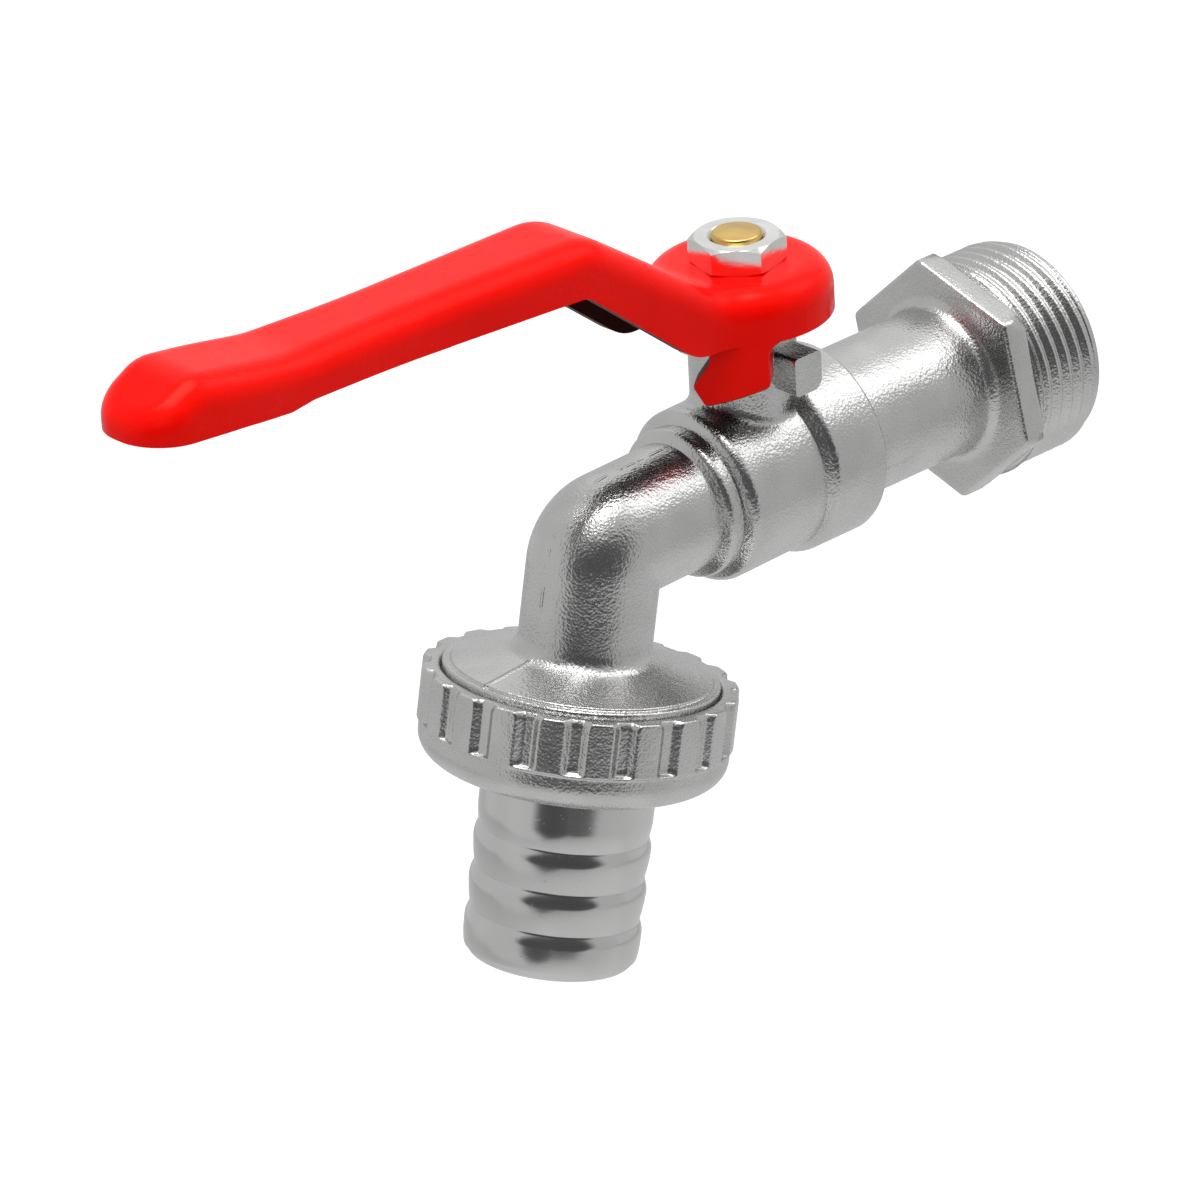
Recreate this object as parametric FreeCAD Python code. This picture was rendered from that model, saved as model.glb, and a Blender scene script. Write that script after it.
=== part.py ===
import FreeCAD, Part
import math
import os
from FreeCAD import Placement, Rotation, Vector

# Hose tap with a quarter-turn ball valve, a long lever, and a union nut that holds a hose tail.
# Millimetres. The origin is the centre of the inlet's end face. +Y points into the wall, +Z up,
# and the water runs along -Y, down the spout and out through the tail.

# Inlet: three-quarter-inch parallel pipe thread, drawn at its outside size
inlet_thread_radius = 13.22
inlet_thread_length = 10.0
inlet_thread_chamfer = 1.1
inlet_bore_radius = 7.4
inlet_bore_mouth_chamfer = 0.8

# Cast hexagon behind the thread, turned about the axis as it came to rest when screwed home
hexagon_across_flats = 26.0
hexagon_length = 3.5
hexagon_turn = -17.7
hexagon_edge_round = 0.7
thread_runout_length = 0.9
neck_radius = 9.1
neck_root_round = 1.4

# Valve casting: socket for the connector, ball housing, front ring
socket_face_from_stem = 11.46
socket_radius = 11.92
socket_length = 8.0
socket_edge_round = 0.6
socket_front_round = 1.0
socket_step_length = 1.3
socket_thread_radius = 9.4
socket_thread_clearance = 0.08

# Ball housing and front ring, coaxial with the arm, lengths from the stem's axis
housing_radius = 10.65
housing_front = 8.85
housing_front_round = 1.3
housing_back_overlap = 3.6
front_groove_radius = 8.85
front_groove_station = 9.6
front_ring_radius = 9.2
front_ring_start = 9.75
front_ring_end = 11.4
front_ring_edge_round = 0.8
arm_start = 12.15

# Arm, elbow and spout tube
stem_station = 46.56
socket_face = stem_station - socket_face_from_stem
tube_radius = 7.9
tube_bore_radius = 5.4
arm_offset = 0.53
arm_droop = 1.37
elbow_from_stem = 24.73
spout_tilt = 12.7
elbow_radius = 3.2

# Outlet: one-inch parallel pipe thread under a cone-shaped flange, lengths along the spout
outlet_flange_overhang = 0.5
flange_top = 16.45
flange_edge = 1.5
flange_cone_rise = 1.9
flange_foot_rise = 0.4
flange_foot_round = 2.2
flange_skirt_length = 3.0
flange_rim_round = 0.35
flange_rim_width = 0.9
flange_rim_step = 0.25
outlet_thread_radius = 15.8
outlet_flange_radius = outlet_thread_radius + outlet_flange_overhang
outlet_thread_length = 5.4
outlet_thread_end_round = 0.5
outlet_bore_radius = 8.0
outlet_bore_flare_length = 2.6

# Stem boss and the two cast stops beside it
boss_radius = 6.4
boss_top = 21.8
boss_foot_round = 1.4
stop_reach = 9.85
stop_front = -1.0
stop_back = 3.25
stop_top = 16.8
stop_bottom = 12.0
stop_edge_round = 0.5
stop_lower_round = 1.4

# Ball, seats and the chamber they sit in
ball_radius = 7.3
ball_bore_radius = 4.8
ball_slot_width = 3.2
ball_slot_depth = 1.8
seat_inner_radius = 5.3
seat_depth = 2.3
seat_reach = 6.6
seat_wall_clearance = 0.05
chamber_radius = 8.3
ball_clearance = 0.04
seat_end_gap = 0.05

# Stem, its seals, and the nut on top
stem_radius = 3.6
stem_bore_clearance = 0.05
stem_collar_radius = 4.2
stem_collar_length = 1.8
collar_recess_clearance = 0.05
tang_clearance = 0.1
washer_thickness = 0.9
ring_groove_radius = 2.6
ring_groove_length = 2.0
ring_groove_stations = (12.9, 16.9)
seal_ring_length = 1.8
seal_ring_gap = 0.03
seal_ring_bore_gap = 0.01
stem_flat_distance = 2.2
stem_flat_runout = 0.3
stem_thread_radius = 2.97
stem_end_chamfer = 0.35
stem_end_above_nut = 0.75
nut_across_flats = 10.0
nut_thickness = 3.2
nut_chamfer = 0.5
nut_turn = 44.4
nut_bore_clearance = 0.05
nut_foot_rise = 0.3
nut_foot_chamfer = 0.3
nut_mouth_chamfer = 0.45
nut_corner_margin = 0.1

# Lever: pressed steel channel, dipped in plastic, sizes over the coating
lever_hub_top = 26.5
lever_hub_radius = 11.05
lever_wall = 2.3
lever_plate = 2.6
lever_rim_depth = 6.2
lever_edge_round = 3.3
lever_reach = 94.5
lever_foot_width = 14.6
lever_waist_width = 11.8
lever_waist_from_stem = 58.0
lever_waist_bend = 150.0
lever_thumb_width = 14.1
lever_thumb_from_tip = 13.5
lever_thumb_bend = 60.0
lever_tip_width = 12.2
lever_tip_round = 6.0
lever_neck_round = 7.0
lever_ramp_foot = 8.2
lever_ramp_run = 19.2
lever_grip_rise = 13.4
lever_grip_climb = 0.9
lever_thumb_length = 22.6
lever_thumb_climb = 2.5
lever_thumb_rise_round = 30.0
lever_tip_knee_from_tip = 7.5
lever_tip_slope = 26.0
lever_knee_round = 6.0
lever_flange_depth = 6.3
lever_flange_taper = 1.1
lever_thumb_depth = 5.5
lever_thumb_rise = 1.6
lever_ramp_foot_round = 6.0
lever_inner_crest_round = 2.0
lever_hollow_depth = 13.25

# Lower edges of the lever's two sides: foot and crest of the ramp, then the fall to the thumb end
flange_foot_from_stem = 13.4
flange_crest_from_stem = 29.7
far_flange_foot_from_stem = 14.3
far_flange_crest_from_stem = 31.0
lever_crest_round = 9.0
flange_crest_round = 3.0
flange_fall_lead = 0.5
flange_fall_length = 3.0
flange_fall_round = 4.0
flange_thumb_round = 3.0
flange_belly_from_thumb = 10.0
flange_belly_rise = 0.75
flange_belly_round = 20.0
lever_hole_clearance = 0.06

# Two tabs under the rim: one in front, and one at the back that meets the stops
front_tab_inner_radius = 8.3
front_tab_root_angle = -64.0
front_tab_bulge_angle = -76.0
front_tab_point_angle = -67.5
front_tab_heel_angle = -27.2
front_tab_flare_angle = -11.0
front_tab_waist_drop = 2.2
front_tab_bulge_drop = 5.6
front_tab_point_drop = 7.9
front_tab_heel_drop = 5.6
front_tab_corner_round = 0.7
front_tab_flare_round = 2.0
front_tab_edge_round = 0.35
stop_tab_inner_radius = 7.3
stop_tab_outer_radius = 10.65
stop_tab_drop = 7.6
stop_tab_clearance = 0.04
tab_overlap = 2.0

# Union nut, lengths along the spout from its rim
union_rim_wall = 1.85
union_rim_flare = 0.6
union_rim_station = 17.1
union_rim_chamfer_length = 0.5
union_lower_step = 0.35
union_step_length = 0.5
union_grip_length = 6.6
union_bottom_round = 4.0
union_thread_clearance = 0.08
union_mouth_gap = 0.45
union_mouth_depth = 2.3
union_mouth_chamfer = 0.3
union_lip_gap = 0.45
union_lip_clearance = 0.04
union_lip_thickness = 1.8
union_lip_round = 0.3
notch_count = 20
notch_width = 2.3
notch_depth = 0.85
notch_end_round = 0.7
notch_mouth_width = 3.3
notch_mouth_length = 1.3
notch_mouth_straight = 0.2

# Hose tail and its gasket
gasket_thickness = 1.5
gasket_rim_gap = 1.28
gasket_outer_radius = outlet_thread_radius + union_thread_clearance - gasket_rim_gap
gasket_inner_radius = 9.2
gasket_gap = 0.03
tail_collar_gap = 0.68
tail_collar_thickness = 1.75
tail_collar_round = 0.3
tail_bore_radius = 8.1
tail_neck_radius = 10.3
tail_neck_round = 0.4
tail_neck_end_round = 8.0
tail_groove_radius = 10.0
tail_barb_radius = 10.45
tail_barb_station = 37.35
tail_barb_pitch = 5.1
tail_barb_count = 3
tail_barb_rise = 1.5
tail_barb_round = 0.7
tail_end_station = 51.8
tail_end_radius = 9.9
tail_end_round = 1.1
tail_mouth_round = 0.3

# How far cutting and joining solids run past the faces they open or meet
pass_through = 1.0


def rounded_outline(corners):
    """Closed wire in the local XZ plane through corners (x, z, radius), each rounded by its radius."""
    points = [Vector(x, 0, z) for x, z, radius in corners]
    count = len(points)
    starts = []
    ends = []
    middles = []
    for i in range(count):
        here = points[i]
        back = (points[i - 1] - here).normalize()
        ahead = (points[(i + 1) % count] - here).normalize()
        radius = corners[i][2]
        half_angle = back.getAngle(ahead) / 2
        if radius == 0:
            starts.append(here)
            ends.append(here)
            middles.append(None)
            continue
        trim = radius / math.tan(half_angle)
        bisector = (back + ahead).normalize()
        centre = here + bisector * (radius / math.sin(half_angle))
        starts.append(here + back * trim)
        ends.append(here + ahead * trim)
        middles.append(centre - bisector * radius)
    edges = []
    for i in range(count):
        if middles[i] is not None:
            edges.append(Part.Arc(starts[i], middles[i], ends[i]).toShape())
        following = starts[(i + 1) % count]
        if ends[i].distanceToPoint(following) > 1e-6:
            edges.append(Part.LineSegment(ends[i], following).toShape())
    return Part.Wire(edges)


def turned(corners, frame):
    """Solid of revolution of an outline (radius, station, corner radius) about the frame's axis."""
    solid = Part.Face(rounded_outline(corners)).revolve(Vector(0, 0, 0), Vector(0, 0, 1), 360)
    solid.Placement = frame
    return solid


def frame_along(origin, direction):
    """Placement whose local Z runs along direction, with local X kept in the row's +X."""
    across = direction.cross(Vector(1, 0, 0)).normalize()
    return Placement(origin, Rotation(Vector(1, 0, 0), across, direction, "ZXY"))


def hexagon_prism(across_flats, low, high, turn, frame):
    """Hexagonal prism between two stations of the frame, its first corner at the turn angle."""
    radius = across_flats / math.sqrt(3)
    corners = []
    for k in range(7):
        angle = math.radians(turn + 60 * k)
        corners.append(Vector(radius * math.cos(angle), radius * math.sin(angle), low))
    prism = Part.Face(Part.makePolygon(corners)).extrude(Vector(0, 0, high - low))
    prism.Placement = frame
    return prism


def box_between(x0, x1, y0, y1, z0, z1):
    return Part.makeBox(x1 - x0, y1 - y0, z1 - z0, Vector(x0, y0, z0))


# Frames: the barrel runs along -Y from the inlet face, the stem up +Z, the spout down its tilt
barrel_frame = frame_along(Vector(0, 0, 0), Vector(0, -1, 0))
stem_foot = Vector(0, -stem_station, 0)
arm_direction = Vector(0, -math.cos(math.radians(arm_droop)), -math.sin(math.radians(arm_droop)))
spout_direction = Vector(0, -math.sin(math.radians(spout_tilt)), -math.cos(math.radians(spout_tilt)))
arm_root = Vector(0, -stem_station, -arm_offset)
elbow_corner = arm_root + arm_direction * elbow_from_stem
spout_origin = elbow_corner - spout_direction * (elbow_corner.z / spout_direction.z)
spout_frame = frame_along(spout_origin, spout_direction)
arm_frame = frame_along(arm_root, arm_direction)


def make_inlet_connector():
    """Threaded inlet, hexagon and neck in one casting, screwed into the valve's socket."""
    hexagon_start = inlet_thread_length + thread_runout_length
    hexagon_end = hexagon_start + hexagon_length
    spigot_end = stem_station - seat_reach - seat_end_gap
    spigot_radius = socket_thread_radius - socket_thread_clearance
    shank = turned([
        (inlet_bore_radius + inlet_bore_mouth_chamfer, 0, 0),
        (inlet_thread_radius - inlet_thread_chamfer, 0, 0),
        (inlet_thread_radius, inlet_thread_chamfer, 0),
        (inlet_thread_radius, inlet_thread_length, 0),
        (hexagon_across_flats / 2 - inlet_thread_chamfer, hexagon_start, 0),
        (hexagon_across_flats / 2 - inlet_thread_chamfer, hexagon_end, 0),
        (neck_radius, hexagon_end, neck_root_round),
        (neck_radius, socket_face + socket_edge_round, 0),
        (spigot_radius, socket_face + socket_edge_round, 0),
        (spigot_radius, spigot_end, 0),
        (inlet_bore_radius - inlet_bore_mouth_chamfer, spigot_end, 0),
        (inlet_bore_radius - inlet_bore_mouth_chamfer, socket_face, 0),
        (inlet_bore_radius, socket_face - inlet_bore_mouth_chamfer, 0),
        (inlet_bore_radius, inlet_bore_mouth_chamfer, 0),
    ], barrel_frame)
    hexagon = hexagon_prism(hexagon_across_flats, hexagon_start, hexagon_end, hexagon_turn, barrel_frame)
    corner_edges = [e for e in hexagon.Edges if abs(e.tangentAt(e.FirstParameter).y) > 0.9]
    hexagon = hexagon.makeFillet(hexagon_edge_round, corner_edges)
    hexagon_bore = turned([
        (0, hexagon_start - pass_through, 0),
        (neck_radius - pass_through, hexagon_start - pass_through, 0),
        (neck_radius - pass_through, hexagon_end + pass_through, 0),
        (0, hexagon_end + pass_through, 0),
    ], barrel_frame)
    return shank.fuse(hexagon.cut(hexagon_bore)).removeSplitter()


def elbow_pipe(radius, lead):
    """Round bar along the arm, round the elbow and down the spout to the flange's lower face."""
    half_turn = spout_direction.getAngle(arm_direction) / 2
    reach = elbow_radius * math.tan(half_turn)
    bend_start = elbow_corner - arm_direction * reach
    bend_end = elbow_corner + spout_direction * reach
    inward = (spout_direction - arm_direction).normalize()
    bend_centre = elbow_corner + inward * (elbow_radius / math.cos(half_turn))
    outward = (bend_start - bend_centre).normalize()
    section = Part.Face(Part.Wire(Part.makeCircle(radius, bend_start, arm_direction)))
    if radius > elbow_radius:
        sideways = Vector(radius * 2, 0, 0)
        away = outward * radius * 4
        corners = [bend_centre - sideways, bend_centre + sideways]
        corners += [bend_centre + sideways + away, bend_centre - sideways + away, bend_centre - sideways]
        section = section.common(Part.Face(Part.makePolygon(corners))).Faces[0]
    bend = section.revolve(bend_centre, Vector(1, 0, 0), math.degrees(half_turn * 2))
    start = arm_root - arm_direction * lead
    arm = Part.makeCylinder(radius, start.distanceToPoint(bend_start), start, arm_direction)
    spout_end = spout_origin + spout_direction * (flange_top + flange_edge)
    spout = Part.makeCylinder(radius, bend_end.distanceToPoint(spout_end), bend_end, spout_direction)
    return arm.fuse([bend, spout])


def is_boss_foot(edge):
    """Whether the edge is the curve where the boss stands on the housing in front of the stem."""
    middle = edge.valueAt((edge.FirstParameter + edge.LastParameter) / 2)
    reach = math.hypot(middle.x, middle.y + stem_station)
    on_boss = abs(reach - boss_radius) < 0.001
    return on_boss and middle.y < -stem_station and 1 < middle.z < socket_radius


def make_tap_body():
    """Valve casting: socket, ball housing, stem boss, stops, arm, elbow, spout and outlet thread."""
    socket_end = socket_face + socket_length
    step_end = socket_end + socket_step_length
    barrel = turned([
        (0, socket_face, 0),
        (socket_radius, socket_face, socket_edge_round),
        (socket_radius, socket_end, socket_front_round),
        (housing_radius - arm_offset, step_end, 0),
        (0, step_end, 0),
    ], barrel_frame)
    front = turned([
        (0, -housing_back_overlap, 0),
        (housing_radius, -housing_back_overlap, 0),
        (housing_radius, housing_front, housing_front_round),
        (front_groove_radius, front_groove_station, 0),
        (front_ring_radius, front_ring_start, 0),
        (front_ring_radius, front_ring_end, front_ring_edge_round),
        (tube_radius, arm_start, 0),
        (0, arm_start, 0),
    ], arm_frame)
    casting = barrel.fuse([front, elbow_pipe(tube_radius, -front_groove_station)])

    boss = Part.makeCylinder(boss_radius, boss_top, stem_foot)
    casting = casting.fuse(boss)
    foot = [e for e in casting.Edges if is_boss_foot(e)]
    casting = casting.makeFillet(boss_foot_round, foot)
    stop_outline = rounded_outline([
        (-stop_back, stop_bottom, stop_lower_round),
        (-stop_back, stop_top, stop_edge_round),
        (-stop_front, stop_top, stop_edge_round),
        (-stop_front, stop_bottom, stop_edge_round),
    ])
    stops = pulled_across(stop_outline, -stop_reach, stop_reach)
    stops.translate(stem_foot)
    casting = casting.fuse(stops)

    cone_start = flange_top - flange_cone_rise
    thread_start = flange_top + flange_edge
    thread_end = thread_start + outlet_thread_length
    outlet = turned([
        (0, cone_start - flange_skirt_length, 0),
        (tube_radius, cone_start - flange_skirt_length, 0),
        (tube_radius, cone_start - flange_foot_rise, flange_foot_round),
        (outlet_flange_radius - flange_rim_width, flange_top - flange_rim_step, flange_rim_step),
        (outlet_flange_radius - flange_rim_width, flange_top, flange_rim_step / 2),
        (outlet_flange_radius, flange_top, flange_rim_round),
        (outlet_flange_radius, thread_start, 0),
        (outlet_thread_radius, thread_start, 0),
        (outlet_thread_radius, thread_end, outlet_thread_end_round),
        (0, thread_end, 0),
    ], spout_frame)
    casting = casting.fuse(outlet)

    chamber_front = stem_station + seat_reach + seat_end_gap
    chamber = turned([
        (0, socket_face - pass_through, 0),
        (socket_thread_radius, socket_face - pass_through, 0),
        (socket_thread_radius, stem_station - seat_reach, 0),
        (chamber_radius, stem_station - seat_reach, 0),
        (chamber_radius, chamber_front, 0),
        (0, chamber_front, 0),
    ], barrel_frame)
    waterway = elbow_pipe(tube_bore_radius, pass_through - seat_reach)
    outlet_bore = turned([
        (0, cone_start, 0),
        (tube_bore_radius, cone_start, 0),
        (outlet_bore_radius, cone_start + outlet_bore_flare_length, 0),
        (outlet_bore_radius, thread_end + pass_through, 0),
        (0, thread_end + pass_through, 0),
    ], spout_frame)
    recess_top = ball_radius + stem_collar_length + washer_thickness + ball_clearance * 2
    stem_bore = Part.makeCylinder(stem_radius + stem_bore_clearance, boss_top + pass_through, stem_foot)
    collar_recess = Part.makeCylinder(stem_collar_radius + collar_recess_clearance, recess_top, stem_foot)
    return casting.cut([chamber, waterway, outlet_bore, stem_bore, collar_recess]).removeSplitter()


def make_ball():
    """Bored ball with the slot that the stem's tang turns it by."""
    ball = Part.makeSphere(ball_radius, stem_foot)
    bore = turned([
        (0, stem_station - ball_radius - pass_through, 0),
        (ball_bore_radius, stem_station - ball_radius - pass_through, 0),
        (ball_bore_radius, stem_station + ball_radius + pass_through, 0),
        (0, stem_station + ball_radius + pass_through, 0),
    ], barrel_frame)
    slot_floor = ball_radius - ball_slot_depth
    half = ball_slot_width / 2
    back = ball_radius - stem_station
    front = -ball_radius - stem_station
    slot = box_between(-half, half, front, back, slot_floor, ball_radius + pass_through)
    return ball.cut([bore, slot])


def make_seat(side):
    """Seat ring whose face follows the ball; side is 1 for the outlet and -1 for the inlet."""
    low = seat_reach - seat_depth
    ring = turned([
        (seat_inner_radius, low, 0),
        (chamber_radius - seat_wall_clearance, low, 0),
        (chamber_radius - seat_wall_clearance, seat_reach, 0),
        (seat_inner_radius, seat_reach, 0),
    ], frame_along(stem_foot, Vector(0, -side, 0)))
    return ring.cut(Part.makeSphere(ball_radius + ball_clearance, stem_foot))


def stem_levels():
    """Heights of the stem's steps above the barrel's axis, from the tang to the threaded end."""
    collar = ball_radius + ball_clearance
    washer = collar + stem_collar_length
    plate = lever_hub_top - lever_plate
    nut_top = lever_hub_top + nut_thickness
    return collar, washer, plate, nut_top


def make_stem():
    """Brass stem, put in from inside: tang, collar, grooved body, flats for the lever, thread."""
    collar, washer, plate, nut_top = stem_levels()
    end = nut_top + stem_end_above_nut
    frame = Placement(stem_foot, Rotation())
    grooves = []
    for station in ring_groove_stations:
        grooves += [
            (stem_radius, station, 0),
            (ring_groove_radius, station, 0),
            (ring_groove_radius, station + ring_groove_length, 0),
            (stem_radius, station + ring_groove_length, 0),
        ]
    stem = turned([
        (0, collar, 0),
        (stem_collar_radius, collar, 0),
        (stem_collar_radius, washer, 0),
        (stem_radius, washer, 0),
    ] + grooves + [
        (stem_radius, plate, 0),
        (stem_thread_radius, plate, 0),
        (stem_thread_radius, end - stem_end_chamfer, stem_end_chamfer),
        (0, end, 0),
    ], frame)
    tang_half = ball_slot_width / 2 - tang_clearance
    tang_foot = ball_radius - ball_slot_depth + tang_clearance
    reach = stem_collar_radius * 2
    front = -reach - stem_station
    back = reach - stem_station
    tang = box_between(-tang_half, tang_half, front, back, tang_foot, collar)
    tang = tang.common(Part.makeCylinder(stem_collar_radius, collar, stem_foot))
    flats_end = lever_hub_top + stem_flat_runout
    flats = [
        box_between(-reach, -stem_flat_distance, front, back, plate, flats_end),
        box_between(stem_flat_distance, reach, front, back, plate, flats_end),
    ]
    return stem.cut(flats).fuse(tang).removeSplitter()


def make_ring(inner, outer, low, high):
    """Flat ring about the stem's axis."""
    corners = [(inner, low, 0), (outer, low, 0), (outer, high, 0), (inner, high, 0)]
    return turned(corners, Placement(stem_foot, Rotation()))


def make_lever_nut():
    """Thin hexagon nut with both faces chamfered, on the stem's thread."""
    low = lever_hub_top
    high = low + nut_thickness
    frame = Placement(stem_foot, Rotation())
    corner = nut_across_flats / math.sqrt(3) + nut_corner_margin
    flat = nut_across_flats / 2
    bore = stem_thread_radius + nut_bore_clearance
    prism = hexagon_prism(nut_across_flats, low, high, nut_turn, frame)
    envelope = turned([
        (bore + nut_foot_chamfer, low, 0),
        (flat, low, 0),
        (corner, low + nut_foot_rise, 0),
        (corner, high - nut_chamfer, 0),
        (flat, high, 0),
        (bore + nut_mouth_chamfer, high, 0),
        (bore, high - nut_mouth_chamfer, 0),
        (bore, low + nut_foot_chamfer, 0),
    ], frame)
    return prism.common(envelope)


def lever_plan(inset):
    """Tall prism on the lever's plan outline: hub disc and waisted arm, drawn in by the inset."""
    waist = stem_station + lever_waist_from_stem
    thumb = stem_station + lever_reach - lever_thumb_from_tip
    tip = stem_station + lever_reach - inset
    half_foot = lever_foot_width / 2 - inset
    half_waist = lever_waist_width / 2 - inset
    half_thumb = lever_thumb_width / 2 - inset
    half_tip = lever_tip_width / 2 - inset
    side = [
        (half_foot, stem_station, 0),
        (half_waist, waist, lever_waist_bend),
        (half_thumb, thumb, lever_thumb_bend),
        (half_tip, tip, lever_tip_round - inset),
    ]
    arm = Part.Face(rounded_outline(side + [(-x, station, radius) for x, station, radius in reversed(side)]))
    arm.Placement = Placement(Vector(0, 0, 0), Rotation(Vector(1, 0, 0), 90))
    plan_height = lever_hub_top * 2
    hub = Part.makeCylinder(lever_hub_radius - inset, plan_height, stem_foot)
    prism = hub.fuse(arm.extrude(Vector(0, 0, plan_height)))
    uprights = [e for e in prism.Edges if e.BoundBox.ZLength > lever_hub_top]
    hub_end = stem_station + lever_hub_radius + pass_through
    corners = [e for e in uprights if stem_station + boss_radius / 2 < -e.CenterOfMass.y < hub_end]
    return prism.makeFillet(lever_neck_round + inset, corners)


def flange_edge_line(foot_from_stem, crest_from_stem, lower):
    """Lower edge of the lever's side, from the hub's rim to past the tip, as outline corners."""
    thumb = stem_station + lever_reach - lever_thumb_length
    thumb_top = lever_hub_top + lever_grip_rise + lever_grip_climb
    thumb_bottom = thumb_top - lever_thumb_depth - lower
    fall_top = thumb_top - lever_flange_depth + lever_flange_taper - lower
    grip_bottom = lever_hub_top + lever_grip_rise - lever_flange_depth - lower
    return [
        (stem_station + foot_from_stem, lever_hub_top - lever_rim_depth - lower, lever_ramp_foot_round),
        (stem_station + crest_from_stem, grip_bottom, flange_crest_round),
        (thumb - flange_fall_lead, fall_top, flange_fall_round),
        (thumb + flange_fall_length, thumb_bottom, flange_thumb_round),
        (thumb + flange_belly_from_thumb, thumb_bottom + flange_belly_rise, flange_belly_round),
        (thumb + lever_thumb_length + pass_through * 2, thumb_bottom + lever_thumb_rise, 0),
    ]


def lever_profile(drop, lower):
    """Side outline of the lever in the plane x = 0; drop lowers the top, lower the underside."""
    back = stem_station - lever_hub_radius - pass_through * 2
    foot = stem_station + lever_ramp_foot
    crest = foot + lever_ramp_run
    thumb = stem_station + lever_reach - lever_thumb_length
    tip = thumb + lever_thumb_length + pass_through * 2
    grip_top = lever_hub_top + lever_grip_rise
    thumb_top = grip_top + lever_grip_climb
    knee = stem_station + lever_reach - lever_tip_knee_from_tip
    tip_top = thumb_top + lever_thumb_climb
    shift = drop * math.tan(math.atan(lever_grip_rise / lever_ramp_run) / 2)
    return rounded_outline([
        (back, lever_hub_top - drop, 0),
        (back, lever_hub_top - lever_rim_depth - lower, 0),
    ] + flange_edge_line(far_flange_foot_from_stem, far_flange_crest_from_stem, lower) + [
        (tip, tip_top - (tip - knee) * math.tan(math.radians(lever_tip_slope)) - drop, 0),
        (knee, tip_top - drop, lever_knee_round),
        (thumb, thumb_top - drop, lever_thumb_rise_round),
        (crest + shift, grip_top - drop, max(lever_crest_round - drop, lever_inner_crest_round)),
        (foot + shift, lever_hub_top - drop, lever_ramp_foot_round + drop),
    ])


def pulled_across(outline, near, far):
    """Prism of a side outline between two values of x."""
    profile = Part.Face(outline)
    profile.Placement = Placement(Vector(near, 0, 0), Rotation(Vector(0, 0, 1), -90))
    return profile.extrude(Vector(far - near, 0, 0))


def lever_form(inset, drop, lower):
    """Lever block: the side outline pulled across X, kept inside the plan outline."""
    half = lever_hub_radius + pass_through
    return pulled_across(lever_profile(drop, lower), -half, half).common(lever_plan(inset))


def near_flange_trim():
    """What the near side's flange lacks below its edge, as a prism."""
    line = flange_edge_line(flange_foot_from_stem, flange_crest_from_stem, 0)
    low = lever_hub_top - lever_rim_depth
    inner = stem_station + lever_ramp_foot
    outer = (line[1][0] + line[2][0]) / 2
    grip_low = line[1][1] + (line[2][1] - line[1][1]) * (outer - line[1][0]) / (line[2][0] - line[1][0])
    below = low - lever_rim_depth
    outline = rounded_outline(
        [(inner, low, 0)] + line[:2] + [(outer, grip_low, 0), (outer, below, 0), (inner, below, 0)])
    return pulled_across(outline, 0, lever_hub_radius + pass_through)


def make_front_tab():
    """Tab under the rim beside the near stop: blunt point forward, flared root towards the stop."""
    rim = lever_hub_top - lever_rim_depth
    facing = (front_tab_bulge_angle + front_tab_heel_angle) / 2

    def corner(angle, drop, radius):
        return lever_hub_radius * math.sin(math.radians(angle - facing)), rim - drop, radius

    outline = rounded_outline([
        corner(front_tab_root_angle, -tab_overlap, 0),
        corner(front_tab_root_angle, front_tab_waist_drop, front_tab_corner_round),
        corner(front_tab_bulge_angle, front_tab_bulge_drop, front_tab_corner_round),
        corner(front_tab_point_angle, front_tab_point_drop, front_tab_corner_round),
        corner(front_tab_heel_angle, front_tab_heel_drop, front_tab_corner_round),
        corner(front_tab_heel_angle, 0, front_tab_flare_round),
        corner(front_tab_flare_angle, 0, 0),
        corner(front_tab_flare_angle, -tab_overlap, 0),
    ])
    profile = Part.Face(outline)
    profile.Placement = Placement(stem_foot, Rotation(Vector(0, 0, 1), facing + 90))
    outward = Rotation(Vector(0, 0, 1), facing).multVec(Vector(lever_hub_radius * 2, 0, 0))
    ring = make_ring(front_tab_inner_radius, lever_hub_radius, 0, rim + tab_overlap)
    tab = ring.common(profile.extrude(outward))
    outer_edges = []
    for edge in tab.Edges:
        middle = edge.valueAt((edge.FirstParameter + edge.LastParameter) / 2)
        reach = math.hypot(middle.x, middle.y + stem_station)
        if abs(reach - lever_hub_radius) < 0.001 and middle.z < rim - front_tab_edge_round:
            outer_edges.append(edge)
    return tab.makeFillet(front_tab_edge_round, outer_edges)


def make_stop_tab():
    """Tab at the back: one edge meets the far stop when open, the other the near stop when shut."""
    rim = lever_hub_top - lever_rim_depth
    foot = rim - stop_tab_drop
    ring = make_ring(stop_tab_inner_radius, stop_tab_outer_radius, foot, rim + tab_overlap)
    contact = stop_back + stop_tab_clearance
    far = lever_hub_radius * 2
    corner = box_between(-far, -contact, contact - stem_station, far - stem_station, 0, lever_hub_top)
    return ring.common(corner)


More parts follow.
